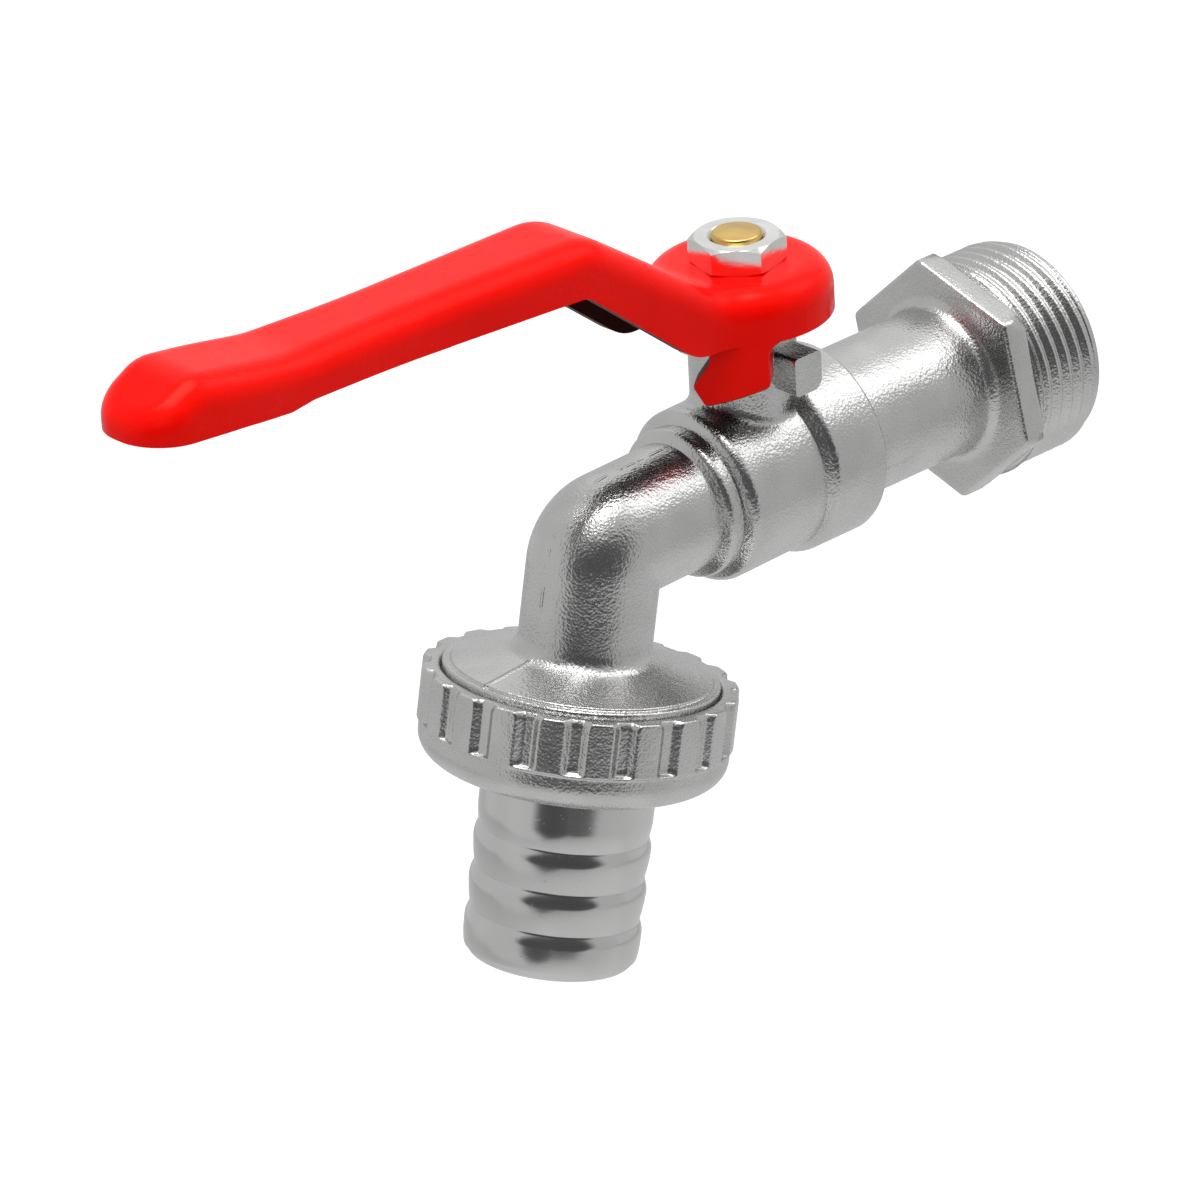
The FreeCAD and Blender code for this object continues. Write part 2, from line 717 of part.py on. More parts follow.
def make_lever():
    """Channel lever: hub with a turned-down rim, ramp, grip, thumb end and two tabs."""
    block = lever_form(0, 0, 0)
    top_edges = []
    for edge in block.Edges:
        middle = edge.valueAt((edge.FirstParameter + edge.LastParameter) / 2)
        faces = block.ancestorsOfType(edge, Part.Face)
        tops = [f for f in faces if f.normalAt(*f.Surface.parameter(middle)).z > 0.5]
        walls = [f for f in faces if abs(f.normalAt(*f.Surface.parameter(middle)).z) < 0.1]
        if tops and walls:
            top_edges.append(edge)
    block = block.makeFillet(lever_edge_round, top_edges)
    hollow = lever_form(lever_wall, lever_plate, lever_hollow_depth)
    lever = block.cut([hollow, near_flange_trim()])
    lever = lever.fuse([make_front_tab(), make_stop_tab()])
    height = lever_hub_top + pass_through
    hole = Part.makeCylinder(stem_thread_radius + lever_hole_clearance, height, stem_foot)
    half = stem_flat_distance + lever_hole_clearance
    reach = lever_hub_radius
    flats = box_between(-half, half, -reach - stem_station, reach - stem_station, 0, height)
    return lever.cut(hole.common(flats)).removeSplitter()


def make_union_nut():
    """Round union nut: threaded bore, lip under the tail's collar, and notches cut for the fingers."""
    rim = union_rim_station
    gasket_top, collar_top, collar_bottom = tail_levels()
    lip_top = collar_bottom + union_lip_clearance
    bottom = lip_top + union_lip_thickness
    step = rim + union_grip_length
    bore = outlet_thread_radius + union_thread_clearance
    mouth_radius = outlet_flange_radius + union_mouth_gap
    lip_radius = tail_neck_radius + union_lip_gap
    outer_radius = mouth_radius + union_rim_wall
    nut = turned([
        (mouth_radius + union_mouth_chamfer, rim, 0),
        (outer_radius - union_rim_flare, rim, 0),
        (outer_radius, rim + union_rim_chamfer_length, 0),
        (outer_radius, step, 0),
        (outer_radius - union_lower_step, step + union_step_length, 0),
        (outer_radius - union_lower_step, bottom, union_bottom_round),
        (lip_radius, bottom, union_lip_round),
        (lip_radius, lip_top, 0),
        (bore, lip_top, 0),
        (bore, rim + union_mouth_depth, 0),
        (mouth_radius, rim + union_mouth_depth, 0),
        (mouth_radius, rim + union_mouth_chamfer, 0),
    ], spout_frame)
    notches = []
    half = notch_width / 2
    mouth = notch_mouth_width / 2
    floor = outer_radius - notch_depth
    side = [
        (mouth, rim - pass_through, 0),
        (mouth, rim + notch_mouth_straight, 0),
        (half, rim + notch_mouth_length, 0),
        (half, step, notch_end_round),
    ]
    mirrored = [(-x, station, radius) for x, station, radius in reversed(side)]
    outline = Part.Face(rounded_outline(side + mirrored))
    groove = outline.extrude(Vector(0, notch_depth + pass_through, 0))
    for k in range(notch_count):
        spin = Placement(Vector(0, 0, 0), Rotation(Vector(0, 0, 1), 360 / notch_count * (k + 0.5)))
        notch = groove.copy()
        notch.Placement = spout_frame.multiply(spin).multiply(Placement(Vector(0, floor, 0), Rotation()))
        notches.append(notch)
    return nut.cut(notches).removeSplitter()


def tail_levels():
    """Stations of the outlet's end, the tail collar's faces and the union nut's lip."""
    gasket_top = flange_top + flange_edge + outlet_thread_length + gasket_gap
    collar_top = gasket_top + gasket_thickness + gasket_gap
    collar_bottom = collar_top + tail_collar_thickness
    return gasket_top, collar_top, collar_bottom


def make_hose_tail():
    """Turned hose tail: collar, neck, three barbs, each with a short rise and a long fall."""
    gasket_top, collar_top, collar_bottom = tail_levels()
    collar_radius = outlet_thread_radius + union_thread_clearance - tail_collar_gap
    barbs = []
    for k in range(tail_barb_count):
        peak = tail_barb_station + k * tail_barb_pitch
        barbs.append((tail_groove_radius, peak - tail_barb_rise, tail_barb_round))
        barbs.append((tail_barb_radius, peak, tail_barb_round))
    return turned([
        (tail_bore_radius, collar_top, 0),
        (collar_radius, collar_top, tail_collar_round),
        (collar_radius, collar_bottom, tail_collar_round),
        (tail_neck_radius, collar_bottom, tail_neck_round),
        (tail_neck_radius, tail_barb_station - tail_barb_rise * 2, tail_neck_end_round),
    ] + barbs + [
        (tail_end_radius, tail_end_station, tail_end_round),
        (tail_bore_radius, tail_end_station, tail_mouth_round),
    ], spout_frame)


def make_gasket():
    """Flat washer between the outlet's end and the tail's collar."""
    gasket_top, collar_top, collar_bottom = tail_levels()
    return turned([
        (gasket_inner_radius, gasket_top, 0),
        (gasket_outer_radius, gasket_top, 0),
        (gasket_outer_radius, gasket_top + gasket_thickness, 0),
        (gasket_inner_radius, gasket_top + gasket_thickness, 0),
    ], spout_frame)


def make_parts():
    """All the pieces by name."""
    collar, washer, plate, nut_top = stem_levels()
    washer_low = washer + ball_clearance / 2
    washer_high = washer_low + washer_thickness
    washer_inner = stem_radius + stem_bore_clearance
    ring_inner = ring_groove_radius + seal_ring_gap
    ring_outer = washer_inner - seal_ring_bore_gap
    parts = {
        "tap_body": make_tap_body(),
        "inlet_connector": make_inlet_connector(),
        "ball": make_ball(),
        "inlet_seat": make_seat(-1),
        "outlet_seat": make_seat(1),
        "stem": make_stem(),
        "stem_washer": make_ring(washer_inner, stem_collar_radius, washer_low, washer_high),
        "lever": make_lever(),
        "lever_nut": make_lever_nut(),
        "union_nut": make_union_nut(),
        "hose_tail": make_hose_tail(),
        "union_gasket": make_gasket(),
    }
    for name, station in zip(("lower_stem_ring", "upper_stem_ring"), ring_groove_stations):
        low = station + (ring_groove_length - seal_ring_length) / 2
        parts[name] = make_ring(ring_inner, ring_outer, low, low + seal_ring_length)
    return parts


os.makedirs("parts", exist_ok=True)
for name, shape in make_parts().items():
    if not shape.isValid() or len(shape.Solids) != 1:
        raise ValueError(f"{name}: valid {shape.isValid()}, solids {len(shape.Solids)}")
    shape.Solids[0].exportStep(f"parts/{name}.step")
    box = shape.BoundBox
    corners = (box.XMin, box.XMax, box.YMin, box.YMax, box.ZMin, box.ZMax)
    print(name, round(shape.Volume), [round(value, 2) for value in corners])
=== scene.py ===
import math

import bpy
import numpy as np
from mathutils import Matrix


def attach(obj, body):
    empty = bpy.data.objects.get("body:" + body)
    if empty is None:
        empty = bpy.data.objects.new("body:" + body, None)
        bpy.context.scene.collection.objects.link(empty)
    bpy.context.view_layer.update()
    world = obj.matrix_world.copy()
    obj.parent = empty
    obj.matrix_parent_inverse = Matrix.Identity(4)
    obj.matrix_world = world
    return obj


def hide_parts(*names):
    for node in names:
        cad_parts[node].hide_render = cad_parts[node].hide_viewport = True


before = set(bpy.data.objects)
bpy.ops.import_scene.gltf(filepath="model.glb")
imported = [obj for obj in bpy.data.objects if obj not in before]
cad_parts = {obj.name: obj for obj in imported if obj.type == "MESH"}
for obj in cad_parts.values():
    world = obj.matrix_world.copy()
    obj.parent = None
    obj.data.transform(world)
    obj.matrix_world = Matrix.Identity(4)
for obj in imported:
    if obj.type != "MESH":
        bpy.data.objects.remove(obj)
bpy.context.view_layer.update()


# VIEWPOINT
# A long lens just over a metre away, looking down on the tap from the lever's side. Its place was
# found by fitting a pin-hole camera to the two threads and the round outlines.
lens_place = Matrix((
    (0.68972, -0.28106, 0.66730, 0.72584),
    (0.72227, 0.33216, -0.60663, -0.73102),
    (-0.05115, 0.90038, 0.43210, 0.46167),
    (0, 0, 0, 1),
))
lens_length_mm = 281.04
film_width_mm = 36
camera = bpy.data.cameras.new("camera")
camera.lens = lens_length_mm
camera.sensor_width = film_width_mm
camera_object = bpy.data.objects.new("camera", camera)
camera_object.matrix_world = lens_place
bpy.context.scene.collection.objects.link(camera_object)
bpy.context.scene.camera = camera_object
bpy.context.scene.view_settings.view_transform = "Standard"


# CAST VALVE BODY
# One brass sand casting, from the socket behind the ball to the outlet thread. It is tumbled and
# nickel plated, so the skin keeps the fine grain of the sand under a bright plate. The mould's
# parting runs along its top, in the plane x = 0, and down the outside of the elbow.
spout_tilt = math.radians(12.7)
spout_origin = np.array([0.0, -0.0710302, 0.0])
spout_down = np.array([0.0, -math.sin(spout_tilt), -math.cos(spout_tilt)])
spout_forward = np.array([0.0, -math.cos(spout_tilt), math.sin(spout_tilt)])
outlet_pitch = 0.002309
outlet_thread_start = (0.0181, 0.0185)
outlet_thread_end = (0.0229, 0.0232)
outlet_thread_root = (0.0154, 0.0156)
outlet_thread_height = 9.0
seam_half_width = (0.00010, 0.00030)
seam_height = 1.7
flange_seam_half_width = (0.00012, 0.00042)
flange_seam_top = (0.0136, 0.0140)
flange_seam_start = (0.0084, 0.0090)
flange_seam_end = (0.0158, 0.0161)
flange_seam_wander = 0.0005
flange_seam_height = 4.0


class Tone:
    """One number in a material. Arithmetic on tones adds the Math nodes that work it out."""

    def __init__(self, finish, socket):
        self.finish = finish
        self.socket = socket

    def __add__(self, other):
        return self.finish.maths("ADD", self, other)

    def __radd__(self, other):
        return self.finish.maths("ADD", other, self)

    def __sub__(self, other):
        return self.finish.maths("SUBTRACT", self, other)

    def __rsub__(self, other):
        return self.finish.maths("SUBTRACT", other, self)

    def __mul__(self, other):
        return self.finish.maths("MULTIPLY", self, other)

    def __rmul__(self, other):
        return self.finish.maths("MULTIPLY", other, self)

    def __truediv__(self, other):
        return self.finish.maths("DIVIDE", self, other)

    def __rtruediv__(self, other):
        return self.finish.maths("DIVIDE", other, self)

    def __pow__(self, other):
        return self.finish.maths("POWER", self, other)

    def __neg__(self):
        return self.finish.maths("MULTIPLY", self, -1)

    def __abs__(self):
        return self.finish.maths("ABSOLUTE", self)


class Finish:
    """A material on one Principled surface. Its plain settings go straight on the sockets."""

    def __init__(self, name, **settings):
        self.material = bpy.data.materials.new(name)
        self.material.use_nodes = True
        self.tree = self.material.node_tree
        self.surface = self.tree.nodes["Principled BSDF"]
        for setting, value in settings.items():
            self.surface.inputs[setting.replace("_", " ")].default_value = value

    def node(self, kind, settings=None, sockets=None, output=0):
        """Adds a node of that kind, sets it up, fills or links its sockets, and gives one output."""
        node = self.tree.nodes.new(kind)
        for setting, value in (settings or {}).items():
            setattr(node, setting, value)
        for socket, value in (sockets or {}).items():
            if isinstance(value, Tone):
                self.tree.links.new(value.socket, node.inputs[socket])
            else:
                node.inputs[socket].default_value = value
        return Tone(self, node.outputs[output])

    def maths(self, operation, first, second=0.0):
        """One Math operation on tones or numbers."""
        return self.node("ShaderNodeMath", {"operation": operation}, {0: first, 1: second})

    def step(self, tone, low, high):
        """0 where the tone is below low, 1 above high, with an S-curve between them."""
        return self.node("ShaderNodeMapRange", {"interpolation_type": "SMOOTHSTEP"},
                         {"Value": tone, "From Min": low, "From Max": high})

    def between(self, tone, start, end):
        """1 from the start to the end and 0 outside. Each is given as the two limits of its step."""
        return self.step(tone, *start) * (1 - self.step(tone, *end))

    def place(self):
        """The point's own place on the object, in metres."""
        return self.node("ShaderNodeTexCoord", output="Object")

    def parts(self, vector):
        """The X, Y and Z of a vector."""
        return [self.node("ShaderNodeSeparateXYZ", None, {0: vector}, output=axis) for axis in "XYZ"]

    def along(self, x=0.0, y=0.0, z=0.0, offset=0.0):
        """Distance of the point along a direction, in metres."""
        dot = self.node("ShaderNodeVectorMath", {"operation": "DOT_PRODUCT"},
                        {0: self.place(), 1: (x, y, z)}, output="Value")
        return dot + offset

    def grain(self, scale, detail=2.0, roughness=0.5, stretch=None):
        """Noise between 0 and 1 with that many lumps to a metre."""
        where = self.place()
        if stretch:
            where = self.node("ShaderNodeMapping", None, {"Vector": where, "Scale": stretch})
        return self.node("ShaderNodeTexNoise", None,
                         {"Vector": where, "Scale": scale, "Detail": detail, "Roughness": roughness})

    def turning_marks(self, direction, scale, detail, roughness=0.5):
        """Noise that changes only along the lathe's axis, with that many rings to a metre."""
        return self.node("ShaderNodeTexNoise", {"noise_dimensions": "1D"},
                         {"W": self.along(*direction), "Scale": scale, "Detail": detail,
                          "Roughness": roughness})

    def cells(self, scale):
        """Rounded grains, that many to a metre: 0 in a grain's middle and about 1 between grains."""
        return self.node("ShaderNodeTexVoronoi", {"feature": "SMOOTH_F1"},
                         {"Vector": self.place(), "Scale": scale, "Smoothness": 0.6}, output="Distance")

    def blend(self, mask, first, second):
        """First colour where the mask is 0, second where it is 1."""
        return self.node("ShaderNodeMix", {"data_type": "RGBA"}, {0: mask, 6: first, 7: second}, output=2)

    def relief(self, height, depth):
        """Bump whose height of 1 stands that many metres proud."""
        return self.node("ShaderNodeBump", None, {"Height": height, "Distance": depth})

    def feed(self, **links):
        """Links tones to the surface's own sockets."""
        for setting, tone in links.items():
            self.tree.links.new(tone.socket, self.surface.inputs[setting.replace("_", " ")])
        return self.material


def wear(node, material):
    """Gives a CAD node its material."""
    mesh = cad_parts[node].data
    mesh.materials.clear()
    mesh.materials.append(material)


def cast_plate(name, parting, depth=0.000054):
    """Nickel plate over a sand casting, with a relief of that depth in metres. The parting is given
    the finish and returns the seam's height."""
    worn_plate = (0.60, 0.60, 0.595, 1)
    dull_plate = (0.56, 0.56, 0.555, 1)
    finish = Finish(name, Metallic=1.0)
    beads = finish.cells(3000)
    grit = finish.grain(5200, 1.0)
    lumps = finish.grain(1300, 2.0)
    swell = finish.grain(170, 1.0)
    height = beads * 0.75 + grit * 0.25 + lumps * 0.7 + swell * 2.6 + parting(finish)
    return finish.feed(
        Base_Color=finish.blend(finish.step(swell, 0.35, 0.65), dull_plate, worn_plate),
        Roughness=0.20 + grit * 0.10 + lumps * 0.04,
        Normal=finish.relief(height, depth),
    )


def parting_line(finish, across, offset=0.0):
    """Broken raised line, about half a millimetre wide, in the plane square to that direction."""
    line = 1 - finish.step(abs(finish.along(*across, offset=offset)), *seam_half_width)
    broken = finish.step(finish.grain(420, 2.0), 0.40, 0.58)
    runs = finish.step(finish.grain(75, 1.0), 0.44, 0.56)
    return line * broken * runs * seam_height


def about_spout(finish):
    """A point's station down the spout's axis, and its places ahead of that axis and across it."""
    station = finish.along(*spout_down, offset=-float(spout_origin @ spout_down))
    forward = finish.along(*spout_forward, offset=-float(spout_origin @ spout_forward))
    return station, forward, finish.along(x=1.0)


def outlet_thread(finish):
    """Thread of the outlet, where the union nut hides it until it is unscrewed: a wave in the turns
    passed, which are the station over the pitch less the angle about the spout's axis. Whole turns
    are added so that the wave is never asked for a negative one."""
    added_turns = 40
    station, forward, sideways = about_spout(finish)
    turn = finish.maths("ARCTAN2", forward, sideways) / (2 * math.pi)
    wave = finish.maths("PINGPONG", station / outlet_pitch - turn + added_turns, 0.5)
    length = finish.between(station, outlet_thread_start, outlet_thread_end)
    radius = (forward * forward + sideways * sideways) ** 0.5
    ridge = finish.step(wave, 0.1, 0.4) * finish.step(radius, *outlet_thread_root)
    return ridge * length * outlet_thread_height


def flange_seam(finish):
    """Bolder ridge of the same seam across the flange's front, where the mould was filled."""
    station, forward, sideways = about_spout(finish)
    wander = finish.grain(260, 2.0) * flange_seam_wander - flange_seam_wander / 2
    line = 1 - finish.step(abs(sideways + wander), *flange_seam_half_width)
    reach = finish.between(forward, flange_seam_start, flange_seam_end)
    uneven = 0.5 + finish.grain(700, 2.0)
    return line * reach * finish.step(station, *flange_seam_top) * uneven * flange_seam_height


def body_marks(finish):
    """The mould's seam in the plane x = 0, and the outlet's thread."""
    return parting_line(finish, (1.0, 0.0, 0.0)) + flange_seam(finish) + outlet_thread(finish)


wear("tap_body", cast_plate("plated_casting", body_marks))


# INLET CONNECTOR
# A cast hexagon with a long neck and a cut three-quarter-inch pipe thread, sealed into the body's
# socket for good. All of it is plated like the casting, and the mould's parting line crosses the
# neck to one corner of the hexagon.
connector_thread_radius = 0.01322
connector_pitch = 0.001814
connector_thread_depth = 0.00065
connector_thread_length = 0.0100
connector_thread_fade = 0.0006
connector_rings_per_turn = 18
connector_lead_depth = 0.00125
connector_lead_slope = 1.1
connector_runout = 0.0004
connector_hexagon = (0.0109, 0.0144)
connector_flat = 0.0130
connector_corner_round = 0.0010
connector_edge_inset = 0.0004
connector_edge_ease = 0.0001
connector_chamfer_depths = (0.00002, 0.00012, 0.00035)
connector_chamfer_reaches = (0.0008, 0.0011, 0.0014)
connector_face_start = 0.0002
connector_face_edge = 0.0011
connector_face_end = 0.0006
connector_hexagon_turn = math.radians(-17.7)
connector_seam_outer = (0.004, 0.006)
connector_seam_start = (0.0140, 0.0144)
connector_seam_offset = 0.00015
connector_neck_radius = 0.0091
connector_neck_round = 0.0015
connector_neck_end = 0.0357
connector_spigot_radius = 0.00932
connector_end = 0.03991
connector_bore_radius = 0.0074
connector_bore_mouth = 0.0008
connector_bore_step = 0.0351
connector_bore_step_radius = 0.0066
connector_bore_cone = 0.0008


def hexagon_radius(angle, flat, corner_round):
    """Distance to a rounded hexagon: the flat's distance over the cosine of the angle from it, and
    near a corner the far side of the corner's own circle."""
    from_corner = np.abs((angle + np.pi / 6) % (np.pi / 3) - np.pi / 6)
    centre = (flat - corner_round) / math.cos(math.pi / 6)
    tangent = math.pi / 6 - math.atan2(centre * 0.5, flat)
    straight = flat / np.cos(np.pi / 6 - from_corner)
    inside = np.clip(corner_round ** 2 - (centre * np.sin(from_corner)) ** 2, 0, None)
    curved = centre * np.cos(from_corner) + np.sqrt(inside)
    return np.where(from_corner < tangent, curved, straight)


def thread_ridge(turns, flat_share=0.40):
    """Height from 0 at a thread's root to 1 at its crest: a straight-sided wave of the number of
    turns passed. Crests and roots are cut flat, and together take up that share of the height."""
    wave = np.abs((turns % 1.0) * 2 - 1)
    return np.clip((wave - flat_share / 2) / (1 - flat_share), 0, 1)


class TurnedSkin:
    """Closed skin of a piece with a bore: rings of points about one axis, outside first and then
    back through the bore. A ring has a station along the axis, and one radius or one for each point."""

    def __init__(self, columns):
        self.angle = np.linspace(0, 2 * np.pi, columns, endpoint=False)
        self.stations = []
        self.radii = []

    def ring(self, station, radius):
        """Adds a ring after the last."""
        self.stations.append(station)
        self.radii.append(np.broadcast_to(radius, self.angle.shape))

    def wrap(self, name, place, material):
        """Makes the mesh from the grid of points that the place gives for station, radius and angle,
        wrapped round on itself both ways, with smooth faces."""
        grid = place(np.array(self.stations)[:, None], np.array(self.radii), self.angle)
        rows, columns = grid.shape[:2]
        first = np.arange(rows * columns).reshape(rows, columns)
        below = np.roll(first, -1, axis=0)
        faces = np.stack([first, np.roll(first, -1, axis=1), np.roll(below, -1, axis=1), below], axis=-1)
        mesh = bpy.data.meshes.new(name)
        mesh.from_pydata(grid.reshape(-1, 3), [], faces.reshape(-1, 4))
        mesh.polygons.foreach_set("use_smooth", np.ones(rows * columns, bool))
        mesh.materials.append(material)
        mesh.validate()
        piece = bpy.data.objects.new(name, mesh)
        bpy.context.scene.collection.objects.link(piece)
        return piece


def round_inlet(station, radius, angle):
    """Points round the inlet's axis, which runs along -Y from the origin."""
    return np.stack([radius * np.cos(angle), -station + 0 * radius, radius * np.sin(angle)], axis=-1)


def connector_parting(finish):
    """Raised seam along the neck and up to the hexagon's corner, on the side of that corner."""
    side = (math.cos(connector_hexagon_turn), 0.0, math.sin(connector_hexagon_turn))
    upright = (-side[2], 0.0, side[0])
    outer = finish.step(finish.along(*side), *connector_seam_outer)
    behind = finish.step(-finish.along(y=1.0), *connector_seam_start)
    return parting_line(finish, upright, connector_seam_offset) * outer * behind


def make_connector(material):
    """Rings of 360 points: the thread, the hexagon, the neck and the spigot outside, then the
    bore back to the mouth. A ring's radius is its own, or follows the thread or the hexagon."""
    skin = TurnedSkin(360)
    ring = skin.ring
    lead_radius = connector_thread_radius - connector_lead_depth
    ring(0.0, connector_bore_radius + connector_bore_mouth)
    ring(0.0, lead_radius)
    root = connector_thread_radius - connector_thread_depth
    thread_end = connector_thread_length + connector_thread_fade
    for station in np.arange(0.00004, thread_end, connector_pitch / connector_rings_per_turn):
        turns = station / connector_pitch - skin.angle / (2 * np.pi)
        ridge = root + connector_thread_depth * thread_ridge(turns)
        lead = lead_radius + station * connector_lead_slope
        runout = root + max(0.0, station - connector_thread_length + connector_runout)
        ring(station, np.clip(np.minimum(ridge, lead), runout, None))
    start, end = connector_hexagon
    turned = skin.angle - connector_hexagon_turn
    outline = hexagon_radius(turned, connector_flat, connector_corner_round)
    eased = outline - connector_edge_ease
    inset = hexagon_radius(turned, connector_flat - connector_edge_inset, connector_corner_round)
    ring(start, root + connector_face_start)
    ring(start, connector_flat - connector_face_edge)
    edges = (inset, eased, outline)
    for edge, depth, reach in zip(edges, connector_chamfer_depths, connector_chamfer_reaches):
        ring(start + depth, np.minimum(edge, connector_flat + reach))
    ring(start + connector_face_end, outline)
    ring(end - connector_edge_inset, outline)
    ring(end - connector_edge_ease, eased)
    ring(end, inset)
    foot = connector_neck_radius + connector_neck_round
    for share in (0.75, 0.5, 0.25):
        ring(end, foot + (inset - foot) * share)
    for turn in np.linspace(0, np.pi / 2, 8):
        ring(end + connector_neck_round * (1 - math.cos(turn)), foot - connector_neck_round * math.sin(turn))
    for station in np.linspace(end + connector_neck_round + 0.001, connector_neck_end, 12):
        ring(station, connector_neck_radius)
    ring(connector_neck_end, connector_spigot_radius)
    ring(connector_end, connector_spigot_radius)
    ring(connector_end, connector_bore_step_radius)
    ring(connector_bore_step, connector_bore_step_radius)
    ring(connector_bore_step - connector_bore_cone, connector_bore_radius)
    for station in np.linspace(0.030, 0.002, 8):
        ring(station, connector_bore_radius)
    ring(connector_bore_mouth, connector_bore_radius)
    return skin.wrap("inlet_connector_skin", round_inlet, material)


connector = make_connector(cast_plate("plated_connector", connector_parting))
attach(connector, "tap_body")
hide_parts("inlet_connector")


# BALL, SEATS AND STEM SEALS
# A turned and plated ball between two white plastic seats. Two rubber rings and a thin washer seal
# the stem. All are put in through the socket before the connector is screwed home.
def turned_plate(name, direction, tint, dark_tint, roughness, lines, depth):
    """Turned metal: fine rings of that many lines to a metre along the direction it was turned on."""
    finish = Finish(name, Metallic=1.0)
    rings = finish.turning_marks(direction, lines, detail=3.0, roughness=0.6)
    broad = finish.turning_marks(direction, lines * 0.12, detail=1.0)
    cloud = finish.grain(260, 2.0)
    return finish.feed(
        Base_Color=finish.blend(finish.step(cloud, 0.25, 0.75), dark_tint, tint),
        Roughness=roughness + rings * 0.10 + cloud * 0.05,
        Normal=finish.relief(rings * 0.5 + broad + cloud * 2.0, depth),
    )


def moulded(name, tint, roughness):
    """Plain moulded seal: even colour with the mould's faint orange peel."""
    finish = Finish(name)
    peel = finish.grain(1800, 2.0)
    dark = tuple(part * 0.85 for part in tint[:3]) + (1,)
    return finish.feed(
        Base_Color=finish.blend(finish.step(peel, 0.3, 0.7), dark, tint),
        Roughness=roughness + peel * 0.1,
        Normal=finish.relief(peel, depth=0.00003),
    )


wear("ball", turned_plate(
    "ball_plate",
    direction=(0, 1, 0),
    tint=(0.80, 0.80, 0.79, 1),
    dark_tint=(0.72, 0.72, 0.71, 1),
    roughness=0.06,
    lines=2500,
    depth=0.000004,
))
seat_plastic = moulded("seat_plastic", (0.85, 0.85, 0.82, 1), roughness=0.45)
seal_rubber = moulded("seal_rubber", (0.022, 0.022, 0.022, 1), roughness=0.5)
for node in ("inlet_seat", "outlet_seat", "stem_washer"):
    wear(node, seat_plastic)
for node in ("lower_stem_ring", "upper_stem_ring", "union_gasket"):
    wear(node, seal_rubber)


# STEM
# Turned from bare brass bar. Its tang turns the ball, its flats are driven by the lever, and its
# threaded end stands just above the nut.
wear("stem", turned_plate(
    "stem_brass",
    direction=(0, 0, 1),
    tint=(0.80, 0.56, 0.20, 1),
    dark_tint=(0.62, 0.40, 0.12, 1),
    roughness=0.22,
    lines=5000,
    depth=0.00001,
))


# LEVER NUT
# A thin steel hexagon nut with bright zinc plate, both faces chamfered by turning. It is screwed
# down on the stem's end and holds the lever on the flats.
def bright_plate(name):
    """Bright zinc plate with faint wrench and barrel scratches."""
    bright_zinc = (0.88, 0.88, 0.87, 1)
    cloudy_zinc = (0.78, 0.78, 0.77, 1)
    finish = Finish(name, Metallic=1.0)
    scratches = finish.grain(900, 3.0, 0.6, stretch=(1.0, 1.0, 4.0))
    cloud = finish.grain(330, 2.0)
    return finish.feed(
        Base_Color=finish.blend(finish.step(cloud, 0.3, 0.7), cloudy_zinc, bright_zinc),
        Roughness=0.10 + scratches * 0.10,
        Normal=finish.relief(scratches * 0.3 + cloud, depth=0.00004),
    )


wear("lever_nut", bright_plate("bright_steel"))


# LEVER
# Pressed steel channel with a turned-down rim, dipped in thick glossy red plastic that rounds
# every edge and runs a little thicker at the lower edges.
def dipped_red(name):
    """Thick dipped coating: even glossy red, slightly wavy, with painted shade: a dull dark red on the
    faces that look down or back towards the lever's middle, standing for the shade inside the channel."""
    thick_red = (0.85, 0.0022, 0.0008, 1)
    thin_red = (0.91, 0.0035, 0.0015, 1)
    painted_shade_red = (0.035, 0.003, 0.002, 1)
    finish = Finish(name, Metallic=0.0, IOR=1.22, Specular_Tint=(1.0, 0.70, 0.55, 1))
    wave = finish.grain(90, 2.0)
    peel = finish.grain(1500, 1.5)
    to_lever = {"vector_type": "NORMAL", "convert_from": "WORLD", "convert_to": "OBJECT"}
    facing = finish.node("ShaderNodeNewGeometry", output="True Normal")
    facing = finish.node("ShaderNodeVectorTransform", to_lever, {0: facing})
    sideways, _, upwards = finish.parts(facing)
    # Painted shade: faces that look down or in towards the channel's middle get a dark red and a duller
    # gloss, for the shade under the lever.
    under = finish.step(-upwards, 0.35, 0.75)
    inner = finish.step(-(sideways * finish.along(x=1.0)), 0.0004, 0.0016)
    painted_shade_mask = 1 - (1 - under) * (1 - inner)
    red = finish.blend(finish.step(wave, 0.3, 0.7), thick_red, thin_red)
    return finish.feed(
        Base_Color=finish.blend(painted_shade_mask, red, painted_shade_red),
        Roughness=0.20 + wave * 0.08 + peel * 0.04 + painted_shade_mask * 0.30,
        Normal=finish.relief(wave * 4.0 + peel * 0.25, depth=0.00006),
    )


wear("lever", dipped_red("red_coating"))


# UNION NUT
# A round cast nut with twenty finger notches round its rim. It turns on the outlet's one-inch
# thread and pulls the hose tail's collar against the gasket. Stations run down the spout.
nut_radius = 0.0186
nut_rim = 0.0171
nut_grip_end = 0.0237
nut_grip_fade = (-0.0001, 0.0003)
nut_bottom = 0.0285
nut_lower_radius = 0.01825
nut_bottom_round = 0.0040
nut_bottom_height = 0.0032
nut_edge_round = 0.00030
nut_mouth_radius = 0.01648
nut_mouth_end = 0.0194
nut_bore_radius = 0.01588
nut_thread_depth = 0.00062
nut_lip_station = 0.0267
nut_lip_radius = 0.01075
nut_thread_undercut = 0.0006
nut_rings_per_turn = 14
notch_period = 2 * math.pi / 20
notch_floor = 0.01785
notch_half_width = 0.00105
notch_mouth_half_width = 0.00138
notch_mouth_length = 0.0009
notch_mouth_sink = 0.00035
notch_wall_slope = 0.00042
notch_shelf_slope = 0.0003


def round_spout(station, radius, angle):
    """Points round the spout's axis, from the row's X at angle 0 to straight ahead at a quarter turn."""
    across = radius * np.cos(angle)
    ahead = radius * np.sin(angle)
    return (spout_origin + station[..., None] * spout_down + ahead[..., None] * spout_forward
            + across[..., None] * np.array([1.0, 0.0, 0.0]))


